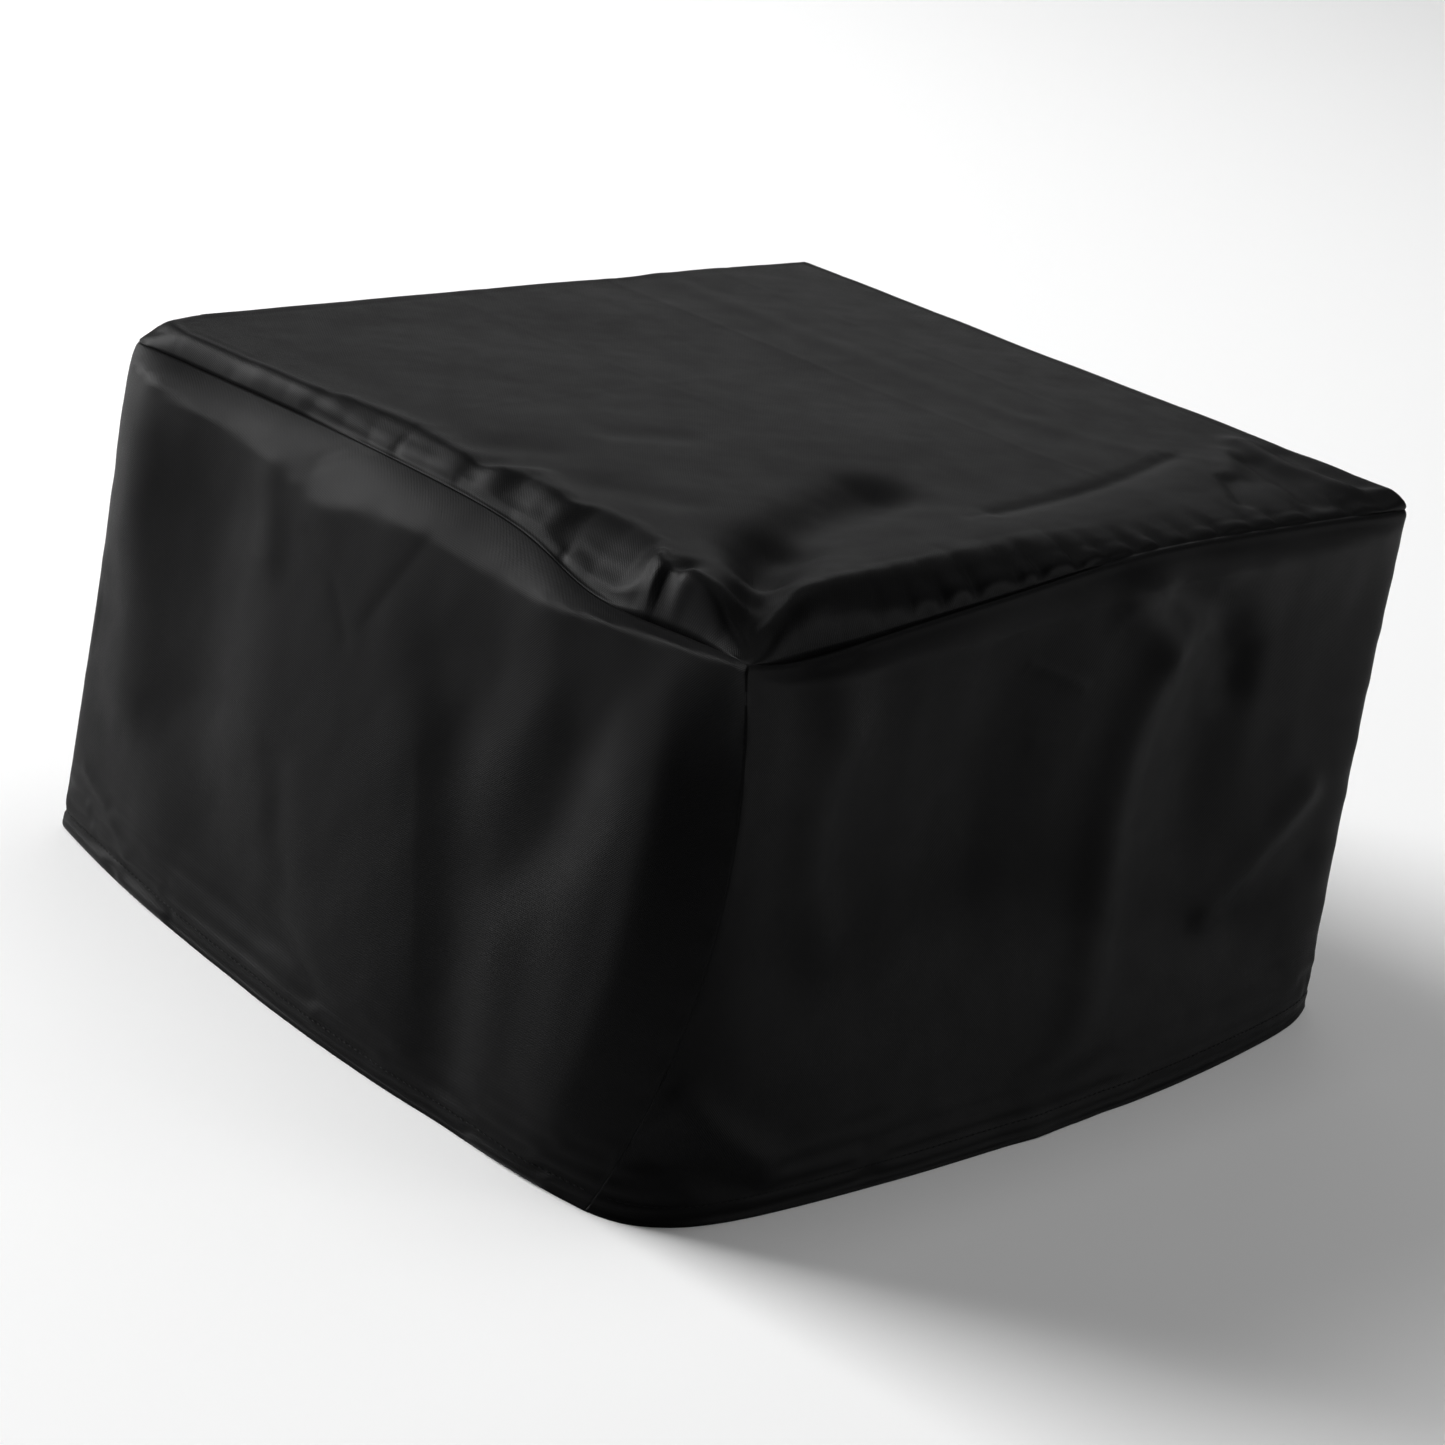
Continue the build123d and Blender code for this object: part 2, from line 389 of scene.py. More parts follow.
# Front wall, in x and z
FRONT_FOLDS = [
    ([(50, 204), (39, 172), (34, 130), (36, 86), (24, 44), (-18, 12)], 17, 5.0),
    ([(92, 196), (96, 120)], 24, -5.0),
    ([(-58, 205), (-70, 120)], 36, -4.5),
    ([(186, 121), (147, 91), (119, 74)], 9, 3.6),
    ([(190, 84), (150, 60)], 14, -2.0),
    ([(-46, 218), (-29, 212), (-5, 202)], 2.6, 0.9, "sharp"),
    ([(-30, 177), (0, 178)], 3.0, 0.6, "sharp"),
    ([(12, 243), (34, 231), (52, 216)], 12, 3.6),
    ([(46, 241), (84, 229), (112, 200), (114, 184)], 12, -4.0),
    ([(-176, 232), (-170, 210), (-182, 180), (-180, 140), (-160, 112)], 17, 4.0),
    ([(-172, 112), (-118, 87), (-69, 90), (-23, 96), (60, 72), (170, 44)], 32, -4.5),
    ([(-246, 50), (-236, 58), (-213, 40), (-188, 22)], 10, 3.0),
    ([(-240, 32), (-222, 25), (-198, 15)], 10, -1.6),
    ([(-20, 6), (-20, 0)], 8, 2.0),
    ([(31, 6), (31, 0)], 9, -2.0),
]

# Right wall, in y and z, and back wall, in x and z
RIGHT_FOLDS = [
    ([(-70, 220), (-84, 130), (-70, 40)], 13, 3.4),
    ([(-20, 190), (-30, 90)], 20, -3.6),
    ([(60, 226), (74, 160), (66, 60)], 12, 3.2),
    ([(110, 180), (120, 60)], 18, -3.0),
    ([(170, 230), (140, 190)], 8, 2.6),
    ([(-150, 60), (-110, 26)], 8, 2.6),
    ([(20, 236), (30, 214)], 6, -3.0),
]
BACK_FOLDS = [
    ([(120, 220), (110, 120), (124, 40)], 14, 3.6),
    ([(60, 180), (70, 90)], 22, -3.6),
    ([(-10, 230), (-4, 120), (-16, 40)], 12, 3.0),
    ([(-70, 190), (-76, 80)], 20, -3.4),
    ([(-140, 226), (-150, 120)], 13, 3.2),
    ([(180, 60), (140, 26)], 8, 2.4),
    ([(-180, 80), (-150, 40)], 9, 2.4),
    ([(30, 238), (20, 216)], 6, -2.6),
]
WALL_FOLDS = {"front": FRONT_FOLDS, "right": RIGHT_FOLDS, "back": BACK_FOLDS, "left": LEFT_FOLDS}

# ------------ the cloth as it is laid

# The loops are smoothed with these reaches, in points, but keep the near corner within NEAR_CORNER.
NEAR_CORNER = 15.0
SMOOTH_SEAM = 2.4
SMOOTH_WAIST = 3.6
SMOOTH_WAIST_CORNER = 1.0
SMOOTH_HEM = 1.4
SMOOTH_DIRECTION = 4.0
SMOOTH_LEDGE = 1.6
SMOOTH_FOLDS = 0.8
SMOOTH_SEAM_ROLL = 6.0

# Height of the top panel's crown, and how far and how wide it sinks at the near corner
CROWN_BACK = 261.2
CROWN_FRONT = 267.0
CROWN_RUN = 400.0
SUNKEN_DEPTH = 18.0
SUNKEN_REACH = 28.0

# The top's edge: how round its roll is, how far its lip stands out over the seam, how high it puffs
# between pinches and how deep the grooves at them are
ROUNDNESS = {"left": 1.7, "front": 2.0, "right": 1.5, "back": 3.0}
OUTWARD = {"left": (-1, 0), "right": (1, 0), "front": (0, -1), "back": (0, 1)}
LIP = {"left": 0.35, "front": 1.3, "right": 1.2, "back": 1.6}
LIP_WIDTH = 8.0
PUFF = {"left": 0.3, "front": 1.9, "right": 0.5, "back": 0.6}
PUFF_BLUNTNESS = 0.8
PUFF_STARTS = 4.0
GROOVE = {"left": 0.7, "front": 1.2, "right": 0.5, "back": 0.6}
GROOVE_LEAN = 0.25
GROOVE_WIDTH = 1.1
GROOVE_LENGTH = 5

# A wall's run from seam to waist to hem, and the small roll of its cloth just under the seam
PROFILE_POINTS = 500
PROFILE_GRADING = 1.6
LEDGE_SHAPE = 0.7
SEAM_ROLL = {"left": 0.3, "front": 1.1, "right": 1.1, "back": 1.1}
SEAM_ROLL_WIDTH = 5.0
HEM_STITCH_HEIGHT = 10.0
HEM_DIP = 0.40
HEM_DIP_WIDTH = 1.4

# How far from a seam or the hem the folds and the creases fade in, and how much is left at the hem
TOP_FADE = 6.0
FADE_AT_CORNER = 3.0
FADE_AT_SEAM = 8.0
FADE_AT_HEM = 30.0
LEFT_AT_HEM = 0.35
CREASE_FADE = 3.0
CREASE_FADE_CELLS = 2.0

# Uneven swells of the cloth: height, scale, seed, and the share of y, or of height, that counts
TOP_RIPPLES = [(0.35, 110, 3, 1), (0.06, 45, 4, 1)]
TOP_FINE_RIPPLE = (0.03, 21, 21, 1)
WALL_RIPPLES = [(0.35, 95, 10, 0.45), (0.15, 40, 15, 0.7)]
WALL_FINE_RIPPLE = (0.04, 21, 30, 0.8)
HEM_RIPPLE = (0.2, 24, 39, 0.2)
HEM_RIPPLE_HEIGHT = 6
HEM_RIPPLE_REACH = 12
CORNER_PUCKER = (0.2, 17, 43, 0.1)
CORNER_PUCKER_REACH = 6.0
LOWEST = 0.3


def lay_rings():
    """The top seam, the waist and the hem as closed loops, with their corners rounded."""
    seam, waist, hem = ring_of(SEAM), ring_of(WAIST), ring_of(HEM)
    hem = np.column_stack([hem, np.zeros(RING)])
    from_near_corner = np.minimum(np.arange(RING), RING - np.arange(RING))
    keep = bell(from_near_corner, NEAR_CORNER)[:, None]
    seam = seam * keep + smooth_ring(seam, SMOOTH_SEAM) * (1 - keep)
    waist = smooth_ring(waist, SMOOTH_WAIST_CORNER) * keep + smooth_ring(waist, SMOOTH_WAIST) * (1 - keep)
    hem = hem * keep + smooth_ring(hem, SMOOTH_HEM) * (1 - keep)
    return seam, waist, hem


def lay_top(seam):
    """The top panel's grid, a pillow over the seam loop, and its points' distances from each side."""
    nx, ny = CELLS["front"], CELLS["right"]
    closed = np.concatenate([seam, seam[:1]])
    front = closed[: nx + 1]
    right = closed[nx : nx + ny + 1]
    back = closed[nx + ny : 2 * nx + ny + 1][::-1]
    left = closed[2 * nx + ny :][::-1]
    u = graded(nx)[None, :, None]
    v = graded(ny)[:, None, None]
    across = left[:, None] * (1 - u) + right[:, None] * u
    along_depth = front[None] * (1 - v) + back[None] * v
    corners = (front[0] * (1 - u) + front[-1] * u) * (1 - v) + (back[0] * (1 - u) + back[-1] * u) * v
    grid = across + along_depth - corners
    length = np.linalg.norm(front[-1] - front[0])
    depth = np.linalg.norm(right[-1] - right[0])
    x, y = np.meshgrid(graded(nx) * length, graded(ny) * depth)
    distance = {"left": x, "right": length - x, "front": y, "back": depth - y}
    lift = np.ones(grid.shape[:2])
    for side in SIDES:
        reach, = stations(side, ROLL, grid)
        lift = lift * (1 - (1 - ramp(distance[side], reach)) ** ROUNDNESS[side])
    crown = CROWN_BACK + (CROWN_FRONT - CROWN_BACK) * ramp(CROWN_RUN / 2 - grid[..., 1], CROWN_RUN)
    from_corner = np.hypot(grid[..., 0] - FRONT_LEFT[0], grid[..., 1] - FRONT_LEFT[1])
    crown = crown - SUNKEN_DEPTH * bell(from_corner, SUNKEN_REACH)
    grid[..., 2] += (crown - grid[..., 2]) * lift
    return grid, distance


def lay_walls(seam, waist, hem):
    """The walls' grid, WALL_ROWS + 1 rows of RING points from the seam down to the hem."""
    level = smooth_ring(0.5 * (seam[:, :2] + hem[:, :2]), SMOOTH_DIRECTION)
    tangent = np.roll(level, -1, axis=0) - np.roll(level, 1, axis=0)
    normal = unit(np.column_stack([tangent[:, 1], -tangent[:, 0]]))
    ledge = np.zeros((RING, 2))
    for side, columns in side_columns():
        ledge[columns] = np.column_stack(stations(side, LEDGE, seam[columns]))
    ledge = smooth_ring(ledge, SMOOTH_LEDGE)
    share = np.linspace(0, 1, PROFILE_POINTS)[:, None] ** PROFILE_GRADING
    out = ledge[:, 0] * ramp(share * seam[:, 2], ledge[:, 1]) ** LEDGE_SHAPE
    bent = 1 - WAIST_HEIGHT / SEAM_HEIGHT
    first = (1 - share) * (1 - share / bent)
    second = share * (1 - share) / (bent * (1 - bent))
    third = share * (share - bent) / (1 - bent)
    flat = first[..., None] * (seam[None, :, :2] + normal * out[..., None])
    flat = flat + second[..., None] * waist + third[..., None] * hem[:, :2]
    profile = np.concatenate([flat, ((1 - share) * seam[:, 2])[..., None]], axis=2)
    run = travelled(profile)
    row = np.arange(WALL_ROWS) + 0.5
    cells = 1 - SMALL_AT_SEAM[0] * np.exp(-row / SMALL_AT_SEAM[1])
    cells -= SMALL_AT_HEM[0] * np.exp(-(WALL_ROWS - row) / SMALL_AT_HEM[1])
    fractions = np.concatenate([[0], np.cumsum(cells)]) / cells.sum()
    lines = [resample(fractions * run[-1, c], run[:, c], profile[:, c]) for c in range(RING)]
    return np.stack(lines, axis=1), fractions * run[-1].mean()


def fold_top(grid, distance):
    """Adds the top panel's soft folds and the puffs of its gathers."""
    x, y = grid[..., 0].copy(), grid[..., 1].copy()
    normal = -grid_normals(grid, closed=False)
    inside = np.ones_like(x)
    for side in SIDES:
        inside = inside * ramp(distance[side], TOP_FADE)
    height = folds(x, y, TOP_FOLDS)
    for row in TOP_RIPPLES:
        height += swell(x, y, row)
    for side in SIDES:
        puff, width = puffs(x if side in ("front", "back") else y, PINCHES[side])
        near = distance[side]
        height += PUFF[side] * puff * ramp(near, PUFF_STARTS) * bell(near, 0.5 * width + PUFF_STARTS)
        lip = LIP[side] * np.sin(math.pi * ramp(near, LIP_WIDTH))
        grid[..., 0] += OUTWARD[side][0] * lip
        grid[..., 1] += OUTWARD[side][1] * lip
    return grid + normal * (height * inside)[..., None]


def fold_walls(grid, depth):
    """Adds the walls' soft folds."""
    normal = grid_normals(grid, closed=True)
    height = np.zeros(grid.shape[:2])
    for side, columns in side_columns():
        block = grid[:, columns]
        run = along(side, block)
        fold = folds(run, block[..., 2], WALL_FOLDS[side])
        for row in WALL_RIPPLES:
            fold += swell(run, block[..., 2], row, SIDES.index(side))
        ends = np.minimum(np.arange(CELLS[side]), CELLS[side] - np.arange(CELLS[side]))
        height[:, columns] = fold * ramp(ends, FADE_AT_CORNER)
    height = smooth_ring(height.T, SMOOTH_FOLDS).T
    near_hem = np.maximum(ramp(depth[-1] - depth, FADE_AT_HEM), LEFT_AT_HEM)
    height *= (ramp(depth, FADE_AT_SEAM) * near_hem)[:, None]
    fullness = np.repeat([SEAM_ROLL[side] for side in SIDES], [CELLS[side] for side in SIDES])
    fullness = smooth_ring(fullness, SMOOTH_SEAM_ROLL)
    roll = fullness[None, :] * np.sin(math.pi * ramp(depth, SEAM_ROLL_WIDTH))[:, None]
    return grid + normal * (height + roll)[..., None]


def crease_top(grid, distance):
    """Adds the top panel's sharp creases and the grooves at its pinches, on the finer grid."""
    normal = -grid_normals(grid, closed=False)
    x, y = grid[..., 0], grid[..., 1]
    height = folds(x, y, TOP_FOLDS, sharp=True)
    inside = np.ones_like(x)
    for side in SIDES:
        near = distance[side]
        inside = inside * ramp(near, CREASE_FADE)
        run = x if side in ("front", "back") else y
        for place, depth in PINCHES[side]:
            lean = GROOVE_LEAN * math.sin(place)
            width = GROOVE_WIDTH + 0.35 * depth + 0.05 * near
            across = np.abs(run - place - lean * near) / width
            height -= GROOVE[side] * depth * np.exp(-across) * bell(near, GROOVE_LENGTH + 4 * depth)
    height += swell(x, y, TOP_FINE_RIPPLE)
    return grid + normal * (height * inside)[..., None]


def crease_wall(side, grid, depth):
    """Adds one wall's sharp creases, the dips of its hem stitching and its seams' small puckers."""
    normal = grid_normals(grid, closed=False)
    run, z = along(side, grid), grid[..., 2]
    height = folds(run, z, WALL_FOLDS[side], sharp=True)
    number = SIDES.index(side)
    height += swell(run, z, WALL_FINE_RIPPLE, number)
    height += swell(run, z, HEM_RIPPLE, number) * bell(z - HEM_RIPPLE_HEIGHT, HEM_RIPPLE_REACH)
    height -= HEM_DIP * bell(z - HEM_STITCH_HEIGHT, HEM_DIP_WIDTH)
    columns = np.arange(grid.shape[1])
    for corner in (columns, columns[::-1]):
        height += swell(z, run, CORNER_PUCKER, number) * bell(corner, CORNER_PUCKER_REACH)
    from_corner = np.minimum(columns, columns[::-1])
    inside = ramp(from_corner, CREASE_FADE_CELLS)[None, :] * ramp(depth, CREASE_FADE)[:, None]
    inside = inside * ramp(depth[-1] - depth, CREASE_FADE)[:, None]
    folded = grid + normal * (height * inside)[..., None]
    folded[..., 2] = np.maximum(folded[..., 2], LOWEST)
    return folded


# ------------ the cloth relaxes

# Slack is the share by which the cloth is longer than it was laid: in the top, near its gathers, in
# the walls and just under the seam. Down a wall it counts only in part.
TOP_SLACK = 0.0012
GATHER_SLACK = 0.0014
GATHER_REACH = 26.0
FRONT_GATHERS_AWAY = 12
WALL_SLACK = 0.0006
UNDER_SEAM_SLACK = 0.001
SLACK_DOWN = 0.15
SLACK_ACROSS = 0.6

# How stiffly the cloth keeps its lengths, and how firmly it is held where it was laid
STRETCH = 1.0
SHEAR = 0.45
BEND = 0.10
HOLD = 0.012
SEAM_HOLD = 0.35
HEM_HOLD = 0.25
MIDDLE_HOLD = 1.5
MIDDLE_STARTS = 40
MIDDLE_REACH = 60

RELAX_STEPS = 36
SWEEPS = 5
GRAVITY = 0.05
DAMPING = 0.86
FLOOR = 0.25


def number_grids():
    """Vertex numbers of the top grid and the wall grid, which share the seam."""
    nx, ny = CELLS["front"], CELLS["right"]
    top = np.arange((nx + 1) * (ny + 1)).reshape(ny + 1, nx + 1)
    seam = np.concatenate([top[0, :-1], top[:-1, -1], top[-1, :0:-1], top[:0:-1, 0]])
    wall = top.size + np.arange(WALL_ROWS * RING).reshape(WALL_ROWS, RING)
    return top, np.concatenate([seam[None], wall])


def links(top, wall):
    """Groups of (first, second, stiffness, share of the slack). In a group no vertex is used twice."""
    groups = []

    def add(a, b, strength, by_column, run, share=1.0):
        lines = np.arange(a.shape[1 if by_column else 0])
        for phase in range(2):
            chosen = lines // run % 2 == phase
            first = a[:, chosen] if by_column else a[chosen]
            second = b[:, chosen] if by_column else b[chosen]
            groups.append((first.ravel(), second.ravel(), strength, share))

    for grid, wrap, down, across in ((top, 0, 1.0, 1.0), (wall, 1, SLACK_DOWN, SLACK_ACROSS)):
        near = np.concatenate([grid, grid[:, :wrap]], axis=1)
        far = np.concatenate([grid, grid[:, : 2 * wrap]], axis=1)
        add(near[:, :-1], near[:, 1:], STRETCH, True, 1)
        add(grid[:-1], grid[1:], STRETCH, False, 1, down)
        add(near[:-1, :-1], near[1:, 1:], SHEAR, False, 1, across)
        add(near[:-1, 1:], near[1:, :-1], SHEAR, False, 1, across)
        add(far[:, :-2], far[:, 2:], BEND, True, 2)
        add(grid[:-2], grid[2:], BEND, False, 2, down)
    return groups


def relax(laid, groups, slack, hold):
    """Lets the laid cloth settle: every link returns to its own length, a little over the laid one."""
    rests = []
    for a, b, _, share in groups:
        length = np.linalg.norm(laid[a] - laid[b], axis=1)
        rests.append(length * (1 + 0.5 * share * (slack[a] + slack[b])))
    cloth = laid.copy()
    before = cloth.copy()
    for _ in range(RELAX_STEPS):
        moved = (cloth - before) * DAMPING
        before = cloth.copy()
        cloth = cloth + moved
        cloth[:, 2] -= GRAVITY
        for _ in range(SWEEPS):
            for (a, b, strength, _), rest in zip(groups, rests):
                gap = cloth[b] - cloth[a]
                length = np.sqrt((gap * gap).sum(1))
                push = (0.5 * strength * (length - rest) / np.maximum(length, 1e-6))[:, None] * gap
                cloth[a] += push
                cloth[b] -= push
            cloth += hold * (laid - cloth)
            cloth[:, 2] = np.maximum(cloth[:, 2], FLOOR)
    return cloth


def make_cloth():
    """The settled cloth as finer grids: the top, and each wall. Also the walls' depth at each row."""
    seam, waist, hem = lay_rings()
    top_grid, distance = lay_top(seam)
    wall_grid, depth = lay_walls(seam, waist, hem)
    top_grid = fold_top(top_grid, distance)
    wall_grid = fold_walls(wall_grid, depth)
    top, wall = number_grids()
    laid = np.zeros((top.size + WALL_ROWS * RING, 3))
    laid[wall] = wall_grid
    laid[top] = top_grid
    laid[wall[0]] = wall_grid[0]

    nearest = np.minimum.reduce([distance[side] for side in SIDES])
    near_gathers = np.minimum(distance["left"], distance["front"] + FRONT_GATHERS_AWAY)
    slack = np.full(len(laid), WALL_SLACK)
    slack[top] = TOP_SLACK + GATHER_SLACK * bell(near_gathers, GATHER_REACH)
    slack[wall[0]] = 0.0
    slack[wall[1:8]] = UNDER_SEAM_SLACK
    hold = np.full((len(laid), 1), HOLD)
    hold[wall[0], 0] = SEAM_HOLD
    hold[wall[-1], 0] = HEM_HOLD
    in_middle = ramp(nearest[2:-2, 2:-2] - MIDDLE_STARTS, MIDDLE_REACH)
    hold[top[2:-2, 2:-2], 0] = HOLD * (1 + MIDDLE_HOLD * in_middle)
    laid = relax(laid, links(top, wall), slack, hold)

    fine_distance = {side: finer(distance[side]) for side in SIDES}
    fine_depth = halve(depth, 0)
    panels = {"top": crease_top(finer(laid[top]), fine_distance)}
    for side, columns in side_columns():
        with_next = np.arange(columns.start, columns.stop + 1) % RING
        panels[side] = crease_wall(side, finer(laid[wall[:, with_next]]), fine_depth)
    return panels, fine_depth


# ------------ meshes


def scene_object(name, data):
    """A new object in the scene."""
    piece = bpy.data.objects.new(name, data)
    bpy.context.scene.collection.objects.link(piece)
    return piece


def mesh_object(name, points, faces, weave=None):
    """A smooth-shaded mesh in metres from points in millimetres, with the cloth's own coordinates."""
    mesh = bpy.data.meshes.new(name)
    faces = faces.tolist() if isinstance(faces, np.ndarray) else faces
    mesh.from_pydata((np.asarray(points) * MM).tolist(), [], faces)
    mesh.update()
    mesh.shade_smooth()
    if weave is not None:
        layer = mesh.attributes.new("weave", "FLOAT_VECTOR", "POINT")
        layer.data.foreach_set("vector", np.asarray(weave, np.float32).ravel())
    return scene_object(name, mesh)


def grid_faces(rows, columns, flip=False):
    """Four-cornered faces of a grid of points, row by row."""
    index = np.arange(rows * columns).reshape(rows, columns)
    corners = [index[:-1, :-1], index[:-1, 1:], index[1:, 1:], index[1:, :-1]]
    if flip:
        corners.reverse()
    return np.stack(corners, axis=-1).reshape(-1, 4)


def grid_object(name, grid, weave, flip=False):
    """A mesh object from a grid of points."""
    rows, columns = grid.shape[:2]
    return mesh_object(name, grid.reshape(-1, 3), grid_faces(rows, columns, flip), weave.reshape(-1, 3))


def thicken(piece):
    """Gives a sheet its cloth thickness, inwards."""
    solid = piece.modifiers.new("cloth", "SOLIDIFY")
    solid.thickness = CLOTH_THICKNESS * MM
    solid.offset = -1
    return piece


CLOTH_THICKNESS = 0.45

# The turned-up hem from its fold to its raw edge: heights over the floor, and how far in it lies
HEM_HEIGHTS = [0.15, 0.5, 1.2, 2.6, 5.0, 7.5, 10.0, 11.6, 13.0]
HEM_OFFSETS = [0.50, 0.62, 0.78, 0.85, 0.88, 0.80, 0.66, 0.80, 0.95]
HEM_LOWEST = 0.5
INNER_STITCH_OFFSET = 1.12

# One stitch: parts of its length, and at each its rise over the cloth and its thickness
STITCH = 2.9
STITCH_PITCH = 3.7
STITCH_START = 1.5
STITCH_PARTS = np.array([0.0, 0.12, 0.32, 0.5, 0.68, 0.88, 1.0])
STITCH_RISE = np.array([-0.34, -0.02, 0.13, 0.17, 0.13, -0.02, -0.34])
THREAD_RADIUS = 0.24
STITCH_RADII = np.array([0.55, 0.95, 1.0, 1.0, 1.0, 0.95, 0.55]) * THREAD_RADIUS
THREAD_SIDES = 6
THREAD_GIRTH = 1.5

# The top seam's allowance: how far in each layer hangs with its seed, and how far down its rows are
ALLOWANCE_LAYERS = [(1.1, 51), (1.9, 52)]
ALLOWANCE_DROPS = [1.2, 3.0, 5.0, 7.0, 9.0, 11.2]
ALLOWANCE_LENGTH = 13.0
ALLOWANCE_STEP = 0.6
ALLOWANCE_SLANT = 0.05
ALLOWANCE_WAVE = 26

# A corner's allowance: distances from its seam, how far in it lies, and how much it waves there
CORNER_REACH = [0.9, 2.2, 4.0, 6.0, 8.0]
CORNER_OFFSETS = np.array([[1.5], [0.9], [0.85], [0.95], [1.2]])
CORNER_WAVES = np.array([[0], [0], [0], [1], [1]])
CORNER_WAVE = (0.25, 30, 61, 0)
THREAD_OUT = 0.05

# How far apart the pieces lie in the cloth's pattern
PANEL_APART = 600
STRIP_APART = 700
TWO_LAYER_CELL = 2.0
CORNERS = {
    "front_left": ("left", "front"),
    "front_right": ("front", "right"),
    "back_right": ("right", "back"),
    "back_left": ("back", "left"),
}


def make_panels(panels, depth):
    """The top panel and the four walls, cut apart at their seams."""
    pieces = {}
    weave = np.zeros(panels["top"].shape)
    weave[..., 0] = halve(graded(CELLS["front"]) * TOP_LENGTH, 0)[None, :]
    weave[..., 1] = halve(graded(CELLS["right"]) * TOP_DEPTH, 0)[:, None]
    pieces["top_panel"] = grid_object("top_cloth", panels["top"], weave)
    for side in SIDES:
        block = panels[side]
        weave = np.zeros(block.shape)
        weave[..., 0] = travelled(block, 1).mean(0)[None, :] + PANEL_APART * (1 + SIDES.index(side))
        weave[..., 1] = depth[:, None]
        pieces[f"{side}_wall"] = grid_object(f"{side}_wall_cloth", block, weave, flip=True)
    for piece in pieces.values():
        thicken(piece)
    return pieces


def follow(grid, distances, offsets, from_end=False, turned=False):
    """Lines that follow a wall at distances from its first row, each set in from its outer face."""
    normal = grid_normals(grid, closed=False)
    if turned:
        normal = -normal
    if from_end:
        grid, normal = grid[::-1], normal[::-1]
    run, both = travelled(grid), np.concatenate([grid, normal], axis=2)
    both = [resample(distances, run[:, c], both[:, c]) for c in range(grid.shape[1])]
    lines, facing = np.split(np.stack(both, axis=1), 2, axis=2)
    offsets = np.asarray(offsets, float)
    offsets = offsets[:, None] if offsets.ndim == 1 else offsets
    return lines - facing * offsets[..., None], facing


def strip_object(name, grid, place):
    """A strip of thick cloth from a grid of points, with its own pattern coordinates."""
    weave = np.zeros(grid.shape)
    weave[..., 0] = travelled(grid, 1).mean(0)[None, :] + STRIP_APART * place
    weave[..., 1] = travelled(grid, 0).mean(1)[:, None]
    return thicken(grid_object(name, grid, weave))


def hem_turn_up(side, panel):
    """The wall's edge turned up inside: a second layer from the fold at the floor to its raw edge."""
    grid, _ = follow(panel[:, 2:-2], HEM_HEIGHTS, HEM_OFFSETS, from_end=True)
    grid[..., 2] = np.maximum(grid[..., 2], HEM_LOWEST)
    return strip_object(f"{side}_hem_turn_up", grid, 1)


def stitch_row(name, rows):
    """Rows of thread stitches. Each row is (points of the line, directions away from the cloth)."""
    points, faces, weave = [], [], []
    ring = np.arange(THREAD_SIDES) * math.tau / THREAD_SIDES
    parts, sides = len(STITCH_PARTS), len(ring)
    turn = np.broadcast_to(ring / math.tau * THREAD_GIRTH, (parts, sides))
    for line, facing in rows:
        run = travelled(line)
        for start in np.arange(STITCH_START, run[-1] - STITCH - STITCH_START, STITCH_PITCH):
            at = start + STITCH_PARTS * STITCH
            centre = resample(at, run, line)
            away = unit(resample(at, run, facing))
            side = np.cross(unit(np.gradient(centre, axis=0)), away)
            centre = centre + away * STITCH_RISE[:, None]
            index = len(points) * parts * sides + np.arange(parts * sides).reshape(parts, sides)
            circle = np.cos(ring)[:, None] * away[:, None] + np.sin(ring)[:, None] * side[:, None]
            points.append(centre[:, None] + circle * STITCH_RADII[:, None, None])
            weave.append(np.stack([np.broadcast_to(at[:, None], turn.shape), turn, 0 * turn], axis=-1))
            after = np.roll(index, -1, axis=1)
            quads = np.stack([index[:-1], after[:-1], after[1:], index[1:]], axis=-1).reshape(-1, 4)
            faces += quads.tolist()
            faces += [index[0, ::-1].tolist(), index[-1].tolist()]
    return mesh_object(name, np.concatenate(points).reshape(-1, 3), faces,
                       np.concatenate(weave).reshape(-1, 3))


def hem_stitching(side, panel):
    """The stitches that hold the hem: one row on the outer face and one on the turned-up layer."""
    offsets = [0.0, INNER_STITCH_OFFSET]
    lines, facing = follow(panel[:, 3:-3], [HEM_STITCH_HEIGHT] * 2, offsets, from_end=True)
    return stitch_row(f"{side}_hem_stitches", [(lines[0], facing[0]), (lines[1], -facing[1])])


def hanging_allowance(side, panel):
    """The top seam's allowance, two layers that hang inside from it, and the line of its stitches."""
    edge = panel[0, 4:-4]
    run = along(side, edge)
    tangent = np.gradient(smooth_line(edge, 6), axis=0)
    inward = unit(np.column_stack([-tangent[:, 1], tangent[:, 0], np.zeros(len(edge))]))
    layers = []
    for layer, (gap, seed) in enumerate(ALLOWANCE_LAYERS):
        wave = ripples(run, 0 * run, ALLOWANCE_WAVE, seed + SIDES.index(side))
        rows = []
        for drop in [*ALLOWANCE_DROPS, ALLOWANCE_LENGTH - ALLOWANCE_STEP * layer]:
            swing = wave * (0.4 + 0.6 * drop / ALLOWANCE_LENGTH)
            slant = gap + ALLOWANCE_SLANT * drop * (1 + swing)
            rows.append(edge + inward * slant[:, None] - np.array([0, 0, drop]))
        layers.append(np.array(rows))
    stitched = 0.5 * (layers[1][2] + layers[1][3])
    return layers, stitched + inward * CLOTH_THICKNESS, inward


